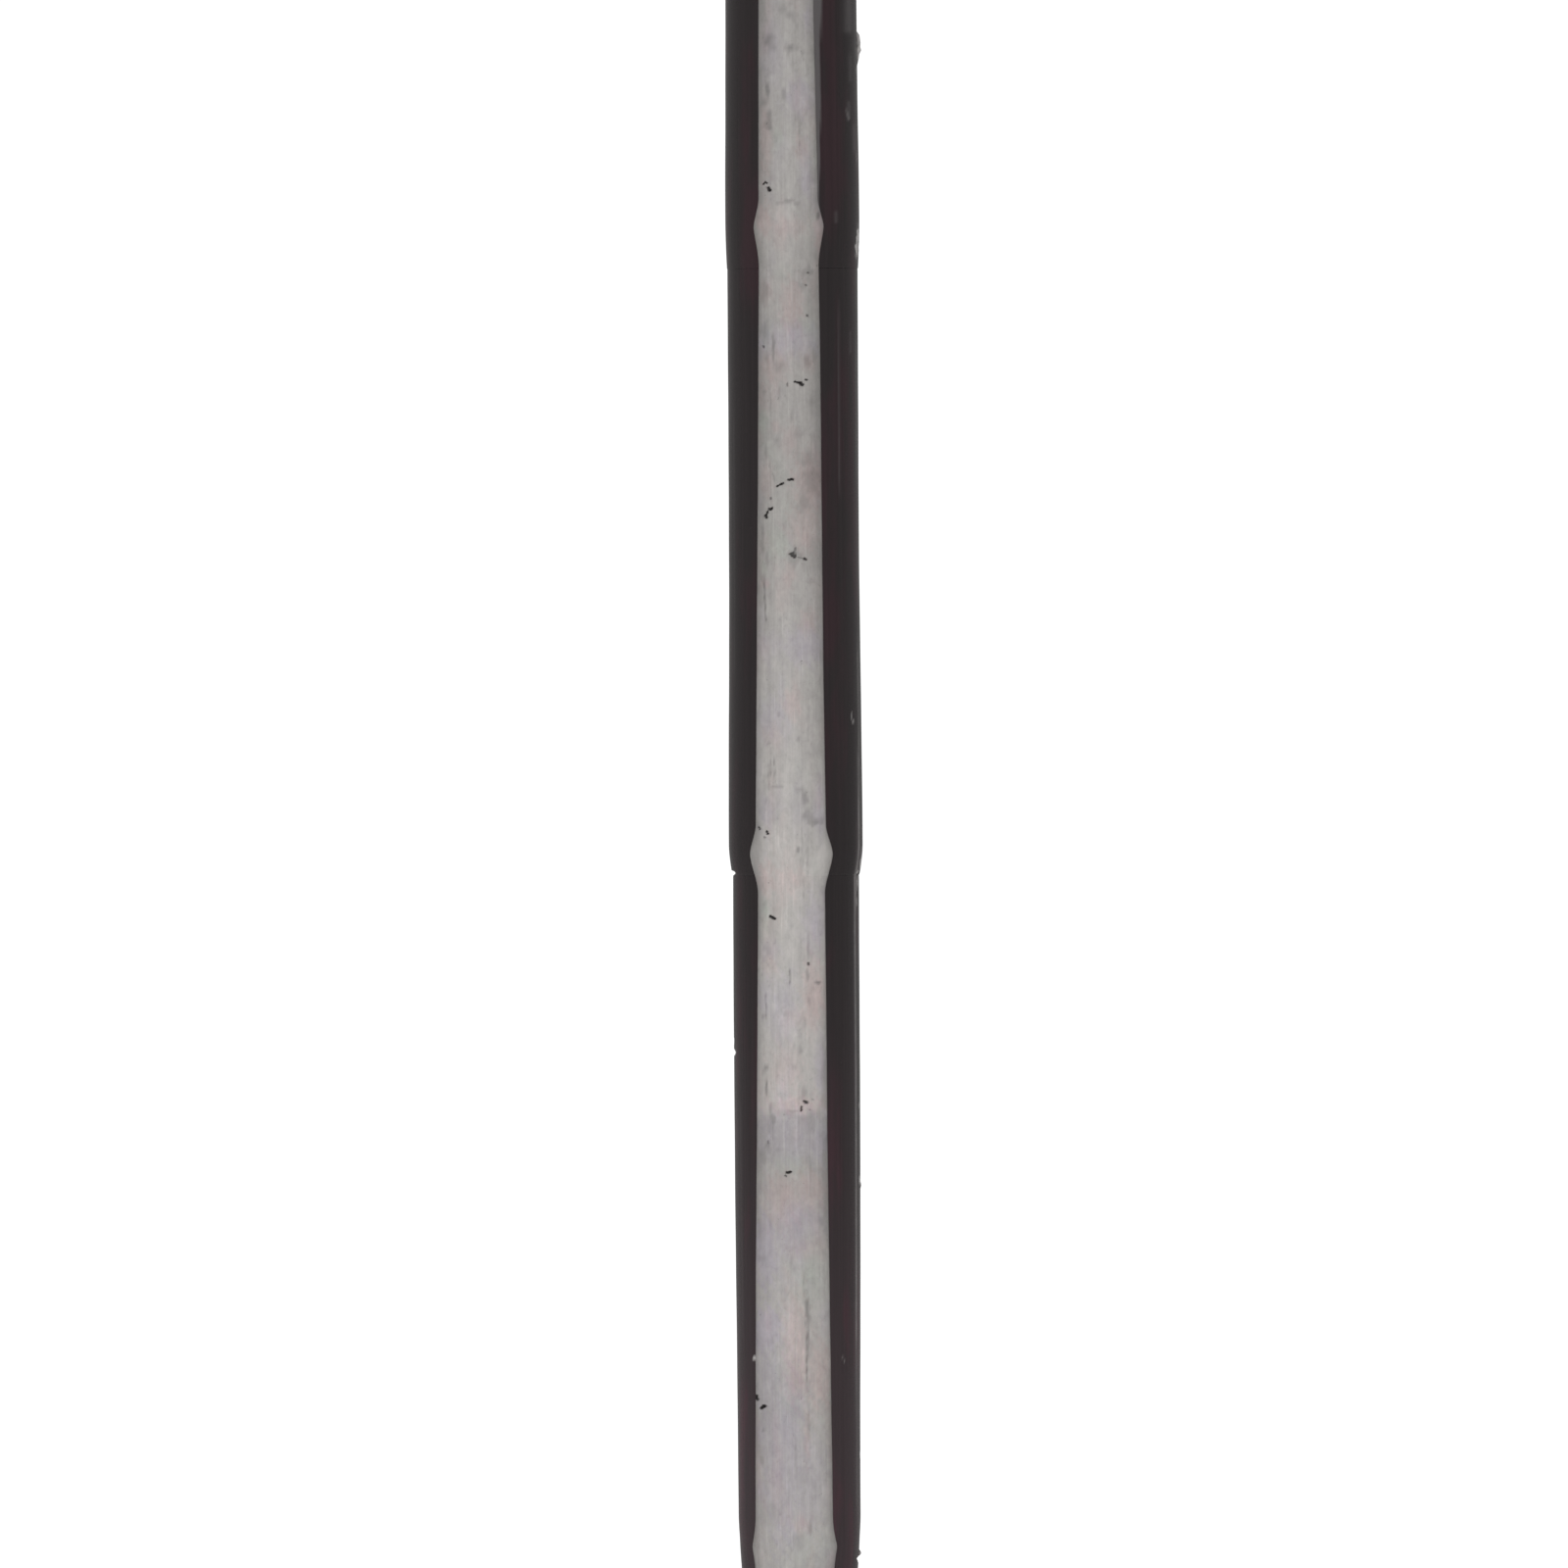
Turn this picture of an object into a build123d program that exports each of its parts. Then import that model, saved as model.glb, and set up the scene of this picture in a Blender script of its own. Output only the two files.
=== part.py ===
"""Devil stick: one noded juggling stick, black sleeves on a wooden core with a grey slat let into its front and back.

Millimetres. The stick's axis is Z and its balance point is the origin. The front is -Y. The lower half mirrors the
upper one, so heights are given once, as distances from the balance point, and a half's sign turns them up or down.
"""

import os

from build123d import *

# Overall
half_length = 360.0  # balance point to the flat end of a cap
core_radius = 7.5
core_half_length = 332.0
glue_gap = 0.05  # radial room between the core, the sleeves and the rings
bore_radius = core_radius + glue_gap

# The three nodes of a half, counted outwards from the balance point. At each one the lip of the thicker sleeve closes
# over a spigot on the thinner one, and swells to a crest.
lip_heights = (36.5, 164.2, 275.6)  # foot of each lip, where the seam is
lip_middle_heights = (41.6, 166.9, 280.2)
crest_heights = (47.0, 170.0, 285.0)
lip_radii = (10.66, 11.64, 12.05)
lip_slopes = (0.07, 0.25, 0.055)  # how steeply each lip starts outwards, per unit of height
lip_middle_radii = (10.98, 12.10, 12.25)
crest_radii = (11.22, 12.32, 12.34)
spigot_radii = (9.20, 9.90, 10.35)
spigot_length = 14.0
ring_height = 4.0

# Each sleeve's side, from its crest out to the next seam: inner, middle and outer sleeve
waist_radius = 10.30
seam_radii = (10.60, 11.58, 11.99)  # the thinner sleeve where it meets each lip
side_middle_heights = (106.0, 222.0, 308.0)
side_middle_radii = (11.53, 11.97, 12.15)
outer_sleeve_end_radius = 12.03

# The slats: how deep they lie, and half their width as seen from the front
bed_heights = (0.0, 36.5, 164.2, 275.6)
bed_radii = (9.40, 9.70, 10.40, 10.85)
strip_proud = 0.20  # how far a slat's face stands out of the sleeves
node_heights = (41.0, 168.2, 283.2)  # where the slats are widest
half_widths_on_node = (7.76, 7.54, 6.40)
half_widths_inward = (7.14, 6.09, 5.44)  # just inside and just outside each node's swelling
half_widths_outward = (7.10, 6.37, 5.40)
swell_inward = 7.4
swell_outward = 5.4
waist_half_width = 7.15
cap_half_width = 4.90

# Ends
cap_rim_height = 334.0
cap_rim_radius = 12.50
cap_barrel_radius = 12.90
cap_barrel_start = 336.5
cap_round = 4.0
cap_floor_height = 350.5
seat_radius = 11.00
sleeve_end_height = 345.0
washer_radius = 10.40
washer_thickness = 1.5
clearance_hole_radius = 2.25
weight_radius = 7.40
screw_radius = 2.0
screw_length = 42.0
screw_point_length = 4.0
screw_head_radius = 4.2
screw_head_height = 2.6
screw_slot_width = 1.0
screw_slot_depth = 1.2

washer_top = sleeve_end_height + washer_thickness
halves = (("upper", 1), ("lower", -1))
sleeve_names = ("inner_sleeve", "middle_sleeve", "outer_sleeve")


def save(part, name):
    """Labels a finished piece and writes its STEP file."""
    part.label = name
    export_step(part, f"parts/{name}.step")


def lip_line(index, sign, outset=0.0):
    """A lip's rounded outline at a node, from its foot out to its crest."""
    return Spline(
        (lip_radii[index] + outset, sign * lip_heights[index]),
        (lip_middle_radii[index] + outset, sign * lip_middle_heights[index]),
        (crest_radii[index] + outset, sign * crest_heights[index]),
        tangents=((lip_slopes[index], sign), (0, sign)),
    )


def side_line(index, sign, end_radius, end_height, outset=0.0):
    """A sleeve's slightly hollow or full outline, from its crest out to its far end."""
    return Spline(
        (crest_radii[index] + outset, sign * crest_heights[index]),
        (side_middle_radii[index] + outset, sign * side_middle_heights[index]),
        (end_radius + outset, sign * end_height),
        tangents=((0, sign), (0, sign)),
    )


def ring(name, inner_radius, outer_radius, sign, start, end):
    """A plain ring round the axis, between two distances from the balance point."""
    with BuildPart() as plain_ring:
        with BuildSketch(Plane.XY.offset(sign * start)):
            Circle(outer_radius)
            Circle(inner_radius, mode=Mode.SUBTRACT)
        extrude(amount=sign * (end - start))
    save(plain_ring.part, name)


def strip(name, facing):
    """One slat. It follows the sleeves' outline over the nodes; facing is -1 for the front and 1 for the back."""
    with BuildPart() as slat:
        # A thin shell all round the stick, from the bed to just proud of the sleeves
        for _, sign in halves:
            with BuildSketch(Plane.XZ):
                with BuildLine():
                    foot = (lip_radii[0] + strip_proud, sign * lip_heights[0])
                    Line((waist_radius + strip_proud, 0), foot)
                    for index in range(3):
                        lip_line(index, sign, strip_proud)
                    for index in range(2):
                        side_line(index, sign, lip_radii[index + 1], lip_heights[index + 1], strip_proud)
                    side_line(2, sign, outer_sleeve_end_radius, cap_rim_height, strip_proud)
                    bed = [(r, sign * h) for r, h in zip(bed_radii, bed_heights)]
                    bed_end = (bed_radii[-1], sign * cap_rim_height)
                    face_end = (outer_sleeve_end_radius + strip_proud, sign * cap_rim_height)
                    Polyline((waist_radius + strip_proud, 0), *bed, bed_end, face_end)
                make_face()
            revolve(axis=Axis.Z)
        # Its outline from the front, widest on the nodes: one quarter, mirrored sideways and downwards
        with BuildSketch(Plane.XZ):
            with BuildLine():
                start = (waist_half_width, 0)
                Line((0, 0), start)
                for index in range(3):
                    inward = (half_widths_inward[index], node_heights[index] - swell_inward)
                    crest = (half_widths_on_node[index], node_heights[index])
                    outward = (half_widths_outward[index], node_heights[index] + swell_outward)
                    Line(start, inward)
                    Spline(inward, crest, outward, tangents=((0, 1), (0, 1)))
                    start = outward
                Polyline(start, (cap_half_width, cap_rim_height), (0, cap_rim_height), (0, 0))
            make_face()
            mirror(about=Plane.YZ)
            mirror(about=Plane.XZ)
        extrude(amount=-facing * 2 * cap_barrel_radius, mode=Mode.INTERSECT)
    save(slat.part, name)
    return slat.part


os.makedirs("parts", exist_ok=True)

slats = (strip("front_strip", -1), strip("back_strip", 1))

# Sleeves, from the waist outwards. Each is bored for the core and cut away where the slats lie.
with BuildPart() as waist_sleeve:
    for _, sign in halves:
        with BuildSketch(Plane.XZ):
            with BuildLine():
                Line((waist_radius, 0), (seam_radii[0], sign * lip_heights[0]))
                Polyline(
                    (seam_radii[0], sign * lip_heights[0]),
                    (spigot_radii[0], sign * lip_heights[0]),
                    (spigot_radii[0], sign * (lip_heights[0] + spigot_length)),
                    (bore_radius, sign * (lip_heights[0] + spigot_length)),
                    (bore_radius, 0),
                    (waist_radius, 0),
                )
            make_face()
        revolve(axis=Axis.Z)
    add(slats, mode=Mode.SUBTRACT)
save(waist_sleeve.part, "waist_sleeve")

for half, sign in halves:
    for index, sleeve_name in enumerate(sleeve_names):
        is_last = index == len(sleeve_names) - 1
        end_height = cap_rim_height if is_last else lip_heights[index + 1]
        end_radius = outer_sleeve_end_radius if is_last else seam_radii[index + 1]
        reduced_radius = seat_radius if is_last else spigot_radii[index + 1]
        reduced_end = sleeve_end_height if is_last else lip_heights[index + 1] + spigot_length
        socket_radius = spigot_radii[index] + glue_gap
        socket_floor = lip_heights[index] + spigot_length + ring_height
        with BuildPart() as sleeve:
            with BuildSketch(Plane.XZ):
                with BuildLine():
                    lip_line(index, sign)
                    side_line(index, sign, end_radius, end_height)
                    Polyline(
                        (end_radius, sign * end_height),
                        (reduced_radius, sign * end_height),
                        (reduced_radius, sign * reduced_end),
                        (bore_radius, sign * reduced_end),
                        (bore_radius, sign * socket_floor),
                        (socket_radius, sign * socket_floor),
                        (socket_radius, sign * lip_heights[index]),
                        (lip_radii[index], sign * lip_heights[index]),
                    )
                make_face()
            revolve(axis=Axis.Z)
            add(slats, mode=Mode.SUBTRACT)
        save(sleeve.part, f"{half}_{sleeve_name}")

        # The rubber ring at the bottom of this sleeve's socket, which the thinner sleeve's spigot bears on
        ring_start = lip_heights[index] + spigot_length
        ring(f"{half}_node_ring_{index + 1}", bore_radius, spigot_radii[index], sign, ring_start, socket_floor)

# Ends: the screw draws the washer onto the row of sleeves, over a weight that sits against the core's end.
screws = []
for half, sign in halves:
    with BuildPart() as end_screw:
        with BuildSketch(Plane.XZ):
            with BuildLine():
                Polyline(
                    (0, sign * (washer_top + screw_head_height)),
                    (screw_head_radius, sign * (washer_top + screw_head_height)),
                    (screw_head_radius, sign * washer_top),
                    (screw_radius, sign * washer_top),
                    (screw_radius, sign * (washer_top - screw_length + screw_point_length)),
                    (0, sign * (washer_top - screw_length)),
                    close=True,
                )
            make_face()
        revolve(axis=Axis.Z)
        with BuildSketch(Plane.XY.offset(sign * (washer_top + screw_head_height))):
            Rectangle(2 * screw_head_radius, screw_slot_width)
        extrude(amount=-sign * screw_slot_depth, mode=Mode.SUBTRACT)
    save(end_screw.part, f"{half}_end_screw")
    screws.append(end_screw.part)

    ring(f"{half}_end_washer", clearance_hole_radius, washer_radius, sign, sleeve_end_height, washer_top)
    ring(f"{half}_balance_weight", clearance_hole_radius, weight_radius, sign, core_half_length, sleeve_end_height)

    cap_corner_start = half_length - cap_round
    cap_flat_radius = cap_barrel_radius - cap_round
    with BuildPart() as end_cap:
        with BuildSketch(Plane.XZ):
            with BuildLine():
                Polyline(
                    (0, sign * cap_floor_height),
                    (seat_radius + glue_gap, sign * cap_floor_height),
                    (seat_radius + glue_gap, sign * cap_rim_height),
                    (cap_rim_radius, sign * cap_rim_height),
                    (cap_barrel_radius, sign * cap_barrel_start),
                    (cap_barrel_radius, sign * cap_corner_start),
                )
                CenterArc((cap_flat_radius, sign * cap_corner_start), cap_round, 0, sign * 90)
                Polyline(
                    (cap_flat_radius, sign * half_length),
                    (0, sign * half_length),
                    (0, sign * cap_floor_height),
                )
            make_face()
        revolve(axis=Axis.Z)
    save(end_cap.part, f"{half}_end_cap")

# The wooden core, with the holes that the two screws have cut for themselves
with BuildPart() as core_rod:
    with BuildSketch(Plane.XY.offset(-core_half_length)):
        Circle(core_radius)
    extrude(amount=2 * core_half_length)
    add(screws, mode=Mode.SUBTRACT)
save(core_rod.part, "core_rod")
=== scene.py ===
"""Devil stick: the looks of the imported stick. Metres in Blender; outlines are worked out in millimetres."""

import math

import bmesh
import bpy
import numpy as np
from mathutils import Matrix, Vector


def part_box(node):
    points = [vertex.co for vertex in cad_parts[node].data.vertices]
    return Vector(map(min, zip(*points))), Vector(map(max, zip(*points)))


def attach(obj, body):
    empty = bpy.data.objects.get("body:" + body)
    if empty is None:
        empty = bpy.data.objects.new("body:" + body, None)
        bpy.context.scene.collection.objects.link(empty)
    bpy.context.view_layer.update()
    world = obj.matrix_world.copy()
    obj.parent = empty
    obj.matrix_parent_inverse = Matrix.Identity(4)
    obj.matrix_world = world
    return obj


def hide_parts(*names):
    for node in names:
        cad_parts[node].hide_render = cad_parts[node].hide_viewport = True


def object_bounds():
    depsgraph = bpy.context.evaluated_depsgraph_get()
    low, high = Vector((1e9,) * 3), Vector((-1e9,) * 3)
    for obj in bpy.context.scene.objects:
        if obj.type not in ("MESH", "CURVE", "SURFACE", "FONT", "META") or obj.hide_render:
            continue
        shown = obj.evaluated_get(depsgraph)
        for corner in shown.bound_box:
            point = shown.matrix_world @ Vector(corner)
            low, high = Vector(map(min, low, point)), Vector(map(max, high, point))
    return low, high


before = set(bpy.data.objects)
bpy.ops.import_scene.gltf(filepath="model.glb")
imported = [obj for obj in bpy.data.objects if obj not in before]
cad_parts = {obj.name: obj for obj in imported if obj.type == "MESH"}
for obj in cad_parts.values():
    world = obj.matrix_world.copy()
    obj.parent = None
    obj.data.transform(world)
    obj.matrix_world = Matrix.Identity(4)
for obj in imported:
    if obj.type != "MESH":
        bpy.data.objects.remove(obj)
cad_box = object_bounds()

MM = 0.001
SLEEVES = ("inner_sleeve", "middle_sleeve", "outer_sleeve")
HALVES = (("upper", 1), ("lower", -1))

# Heights along a half, in mm from the balance point, read from the frame
LIP_FEET = [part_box(f"upper_{name}")[0].z / MM for name in SLEEVES]
SLEEVE_ENDS = [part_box(f"upper_{name}")[1].z / MM for name in SLEEVES]
WAIST_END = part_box("waist_sleeve")[1].z / MM
CAP_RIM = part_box("upper_end_cap")[0].z / MM
CAP_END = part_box("upper_end_cap")[1].z / MM
CAP_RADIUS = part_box("upper_end_cap")[1].x / MM
RING_ENDS = [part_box(f"upper_node_ring_{i}")[1].z / MM for i in (1, 2, 3)]
SPIGOT_RADII = [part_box(f"upper_node_ring_{i}")[1].x / MM for i in (1, 2, 3)]
BORE_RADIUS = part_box("core_rod")[1].x / MM + 0.05
GLUE_GAP = 0.05

# The sleeves' outline at each node, where a lip rises from its foot to a crest:
# (height above the foot, radius, slope)
LIP_SHAPES = (
    ((0.0, 10.66, 0.070), (5.1, 10.98, 0.042), (10.5, 11.22, 0.0)),
    ((0.0, 11.64, 0.250), (2.7, 12.10, 0.120), (5.8, 12.32, 0.0)),
    ((0.0, 12.05, 0.055), (4.6, 12.25, 0.033), (9.4, 12.34, 0.0)),
)
SIDE_MIDDLES = ((106.0, 11.53), (222.0, 11.97), (308.0, 12.15))
SIDE_END_RADII = (11.58, 11.99, 12.03)
WAIST_RADII = (10.30, 10.60)
SEAT_RADIUS = 11.00  # where a cap grips the outer sleeve's end

# The slats, as in the CAD
BED_HEIGHTS = (0.0, *LIP_FEET)
BED_RADII = (9.40, 9.70, 10.40, 10.85)
SLAT_PROUD = 0.20
NODE_HEIGHTS = (41.0, 168.2, 283.2)
WAIST_HALF_WIDTH = 7.15
CAP_HALF_WIDTH = 4.90
# Half widths just inside, on and just outside each node's swelling
SWELLINGS = ((7.14, 7.76, 7.10), (6.09, 7.54, 6.37), (5.44, 6.40, 5.40))
SWELL_INWARD, SWELL_OUTWARD = 7.4, 5.4


# ---------------------------------------------------------------- outlines


def hermite(knots, heights):
    """A smooth curve through (height, value, slope) knots, at the given heights."""
    at, value, slope = (np.array(column, float) for column in zip(*knots))
    i = np.clip(np.searchsorted(at, heights) - 1, 0, len(at) - 2)
    span = at[i + 1] - at[i]
    t = np.clip((heights - at[i]) / span, 0, 1)
    return (
        (2 * t**3 - 3 * t**2 + 1) * value[i]
        + (t**3 - 2 * t**2 + t) * span * slope[i]
        + (3 * t**2 - 2 * t**3) * value[i + 1]
        + (t**3 - t**2) * span * slope[i + 1]
    )


def sleeve_knots(index):
    """The knots of one sleeve's outside, from its lip's foot to its far end."""
    knots = [(LIP_FEET[index] + rise, radius, slope) for rise, radius, slope in LIP_SHAPES[index]]
    far = (*LIP_FEET[1:], CAP_RIM)[index]
    crest, middle, end = knots[-1], SIDE_MIDDLES[index], (far, SIDE_END_RADII[index])
    slope = (end[1] - crest[1]) / (end[0] - crest[0])
    return [*knots, (*middle, slope), (*end, 0.0)]


def sleeve_radius(index, heights):
    return hermite(sleeve_knots(index), heights)


def waist_radius(heights):
    return np.interp(heights, (0, LIP_FEET[0]), WAIST_RADII)


def stick_radius(heights):
    """The sleeves' outside radius anywhere under a slat."""
    radius = waist_radius(heights)
    for index, foot in enumerate(LIP_FEET):
        radius = np.where(heights >= foot, sleeve_radius(index, heights), radius)
    return radius


def bed_radius(heights):
    return np.interp(heights, BED_HEIGHTS, BED_RADII)


def half_width(heights):
    """Half a slat's width from the front, with the swelling over each node."""
    knots = [(0.0, WAIST_HALF_WIDTH, 0.0)]
    for node, (inward, crest, outward) in zip(NODE_HEIGHTS, SWELLINGS):
        knots += [
            (node - SWELL_INWARD, inward, -0.009),
            (node - 0.9, crest - 0.10, 0.16),
            (node, crest, 0.0),
            (node + 0.9, crest - 0.12, -0.20),
            (node + SWELL_OUTWARD, outward, -0.009),
        ]
    knots.append((CAP_RIM, CAP_HALF_WIDTH, -0.011))
    return hermite(knots, heights)


def slat_drift(heights):
    """How far a slat's centreline wanders from the front, towards +X on the front slat."""
    outward = 0.25 * ease(heights, 80, 170) + 0.22 * ease(heights, 190, 270) - 0.20 * ease(heights, 285, 325)
    return outward - 0.35


def ease(values, low, high):
    """0 below low, 1 above high, smooth between."""
    t = np.clip((values - low) / (high - low), 0, 1)
    return t * t * (3 - 2 * t)


def waviness(heights, angle, seed):
    """Slow unevenness of a hand-finished surface, between about -1 and 1."""
    rng = np.random.default_rng(seed)
    total = np.zeros(np.broadcast(heights, angle).shape)
    for turns in (1, 2, 3):
        for length in (90.0, 41.0, 17.0):
            phase, shift = rng.uniform(0, 2 * math.pi, 2)
            total += np.sin(2 * math.pi * heights / length + phase) * np.sin(turns * angle + shift) / 5
    return total


def border_width(heights):
    """Half a finished slat's width, a little uneven; the sleeves' grooves share it."""
    return half_width(np.abs(heights)) + 0.07 + 0.05 * waviness(heights, np.array([[0.7]]), 5)


# ---------------------------------------------------------------- meshes


def make_piece(name, points, faces, attributes, material, nodes):
    """A closed mesh from points in mm, merged, turned outwards and shaded smooth up to 35-degree creases."""
    mesh = bpy.data.meshes.new(name)
    mesh.from_pydata((np.asarray(points) * MM).tolist(), [], faces)
    for key, values in attributes.items():
        mesh.attributes.new(key, "FLOAT", "POINT").data.foreach_set("value", np.asarray(values, np.float32))
    work = bmesh.new()
    work.from_mesh(mesh)
    bmesh.ops.remove_doubles(work, verts=work.verts, dist=1e-6)
    bmesh.ops.dissolve_degenerate(work, dist=1e-7, edges=work.edges)
    bmesh.ops.recalc_face_normals(work, faces=work.faces)
    for edge in work.edges:
        edge.smooth = edge.calc_face_angle(0) < math.radians(35)
    for face in work.faces:
        face.smooth = True
    work.to_mesh(mesh)
    work.free()
    mesh.materials.append(material)
    piece = bpy.data.objects.new(name, mesh)
    bpy.context.scene.collection.objects.link(piece)
    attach(piece, "root")
    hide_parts(*nodes)
    return piece


def grid_faces(rows, columns, close_rows):
    """Quads over a grid whose columns go all the way round, and whose rows do too if asked."""
    faces = []
    for i in range(rows if close_rows else rows - 1):
        here, there = i * columns, (i + 1) % rows * columns
        for j in range(columns):
            k = (j + 1) % columns
            faces.append((here + j, here + k, there + k, there + j))
    return faces


# ---------------------------------------------------------------- marks

# Pits in the front slat, each a short stroke: ((height, across) points, width, depth, darkness), in mm
PITS = (
    (((291.1, -4.45), (291.4, -4.15), (291.2, -3.85)), 0.32, 0.20, 1.0),
    (((290.3, -3.5), (289.9, -3.4)), 0.66, 0.28, 1.0),
    (((274.8, 3.6), (274.7, 3.7)), 0.32, 0.08, 0.6),
    (((272.5, 3.2), (272.4, 3.3)), 0.35, 0.08, 0.6),
    (((267.0, 3.4), (266.8, 3.4)), 0.32, 0.08, 0.7),
    (((261.4, -4.7), (261.2, -4.6)), 0.37, 0.10, 0.7),
    (((255.2, 3.1), (255.1, 3.3)), 0.33, 0.18, 0.9),
    (((254.8, 1.1), (254.5, 1.9)), 0.35, 0.20, 1.0),
    (((254.6, -0.2), (253.9, -0.3)), 0.26, 0.08, 0.5),
    (((254.5, 2.1), (254.2, 2.4)), 0.63, 0.26, 1.0),
    (((236.9, 0.4), (236.9, 0.7)), 0.44, 0.24, 1.0),
    (((236.8, -0.1), (236.7, 0.1)), 0.37, 0.22, 1.0),
    (((236.0, -1.4), (236.2, -1.0)), 0.40, 0.20, 0.9),
    (((235.6, -2.2), (236.0, -1.5)), 0.30, 0.18, 1.0),
    (((233.5, -3.4), (233.3, -3.4)), 0.37, 0.08, 0.6),
    (((231.4, -3.6), (231.6, -3.1)), 0.49, 0.26, 1.0),
    (((231.1, -3.9), (230.4, -4.2)), 0.32, 0.22, 1.0),
    (((230.3, -4.3), (230.0, -4.2)), 0.55, 0.24, 1.0),
    (((224.2, 1.2), (223.4, 1.0)), 0.44, 0.10, 0.45),
    (((223.2, 0.5), (222.8, 1.0)), 0.75, 0.28, 0.85),
    (((222.6, 1.6), (222.3, 2.6)), 0.22, 0.06, 0.4),
    (((222.3, 2.8), (222.2, 3.0)), 0.48, 0.20, 0.9),
    (((173.1, -5.8), (172.7, -5.7)), 0.32, 0.18, 0.9),
    (((172.4, -4.3), (171.9, -4.2)), 0.39, 0.22, 1.0),
    (((171.3, -4.8), (171.2, -4.7)), 0.28, 0.08, 0.5),
    (((156.7, -3.75), (156.4, -3.1)), 0.58, 0.26, 1.0),
    (((148.1, 3.2), (147.8, 3.2)), 0.37, 0.14, 0.8),
    (((123.2, 3.9), (123.1, 4.0)), 0.26, 0.06, 0.35),
    (((122.7, 2.5), (122.6, 2.8)), 0.58, 0.24, 0.9),
    (((121.8, 1.9), (121.1, 1.8)), 0.37, 0.20, 0.9),
    (((121.3, 3.4), (121.2, 3.5)), 0.26, 0.06, 0.35),
    (((120.4, -1.4), (120.3, -1.3)), 0.24, 0.05, 0.30),
    (((115.6, -4.4), (115.1, -4.3)), 0.26, 0.08, 0.45),
    (((109.9, -0.1), (109.7, -0.8)), 0.46, 0.24, 1.0),
    (((109.2, -1.1), (109.1, -1.0)), 0.30, 0.12, 0.8),
    (((68.7, -6.9), (68.2, -6.6)), 0.60, 0.20, 1.0),
    (((66.6, -5.8), (66.9, -5.2)), 0.62, 0.26, 1.0),
)
# Hairline scratches along the slat: (upper end's height, lower end's height, across, lean, strength)
SCRATCHES = (
    (301.2, 297.8, 2.2, 0.0, 0.25),
    (239.2, 236.8, -3.1, 1.0, 0.40),
    (217.5, 211.2, -4.5, 0.3, 0.75),
    (203.0, 197.5, -1.2, 0.1, 0.20),
    (196.4, 189.0, 3.4, -0.1, 0.25),
    (186.6, 183.0, -3.5, 0.0, 0.35),
    (185.8, 181.6, -2.8, 0.1, 0.60),
    (184.4, 181.0, -3.9, 0.0, 0.35),
    (171.8, 165.6, 2.2, 0.1, 0.28),
    (170.4, 164.2, 3.1, 0.0, 0.24),
    (168.0, 162.6, 1.8, 0.1, 0.22),
    (163.6, 160.2, 2.4, 0.0, 0.30),
    (146.8, 144.6, -0.2, 0.0, 0.75),
    (142.2, 138.6, -4.7, 0.1, 0.60),
    (126.6, 124.2, -4.6, 0.0, 0.45),
    (119.0, 116.0, -3.4, 0.0, 0.30),
    (90.4, 86.0, 2.2, 0.1, 0.35),
    (87.6, 83.4, 2.8, 0.1, 0.25),
    (80.4, 72.0, 2.7, -0.1, 0.70),
    (66.4, 61.8, 3.0, 0.1, 0.30),
    (60.5, 54.0, 0.6, 0.1, 0.20),
)
# How light the front slat's painted reflection is along its length: (height, brightness) by rising height,
# scaled by one factor
SLAT_BRIGHTNESS = 0.945
SLAT_TONES = (
    (-330, 0.355),
    (-180, 0.386),
    (-60, 0.365),
    (38, 0.365),
    (58, 0.368),
    (66, 0.355),
    (76, 0.385),
    (90, 0.390),
    (100, 0.368),
    (112, 0.355),
    (119.6, 0.350),
    (121.4, 0.425),
    (150, 0.432),
    (170, 0.422),
    (195, 0.402),
    (212, 0.382),
    (226, 0.366),
    (240, 0.342),
    (262, 0.352),
    (290, 0.362),
    (312, 0.352),
    (330, 0.326),
)
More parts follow.
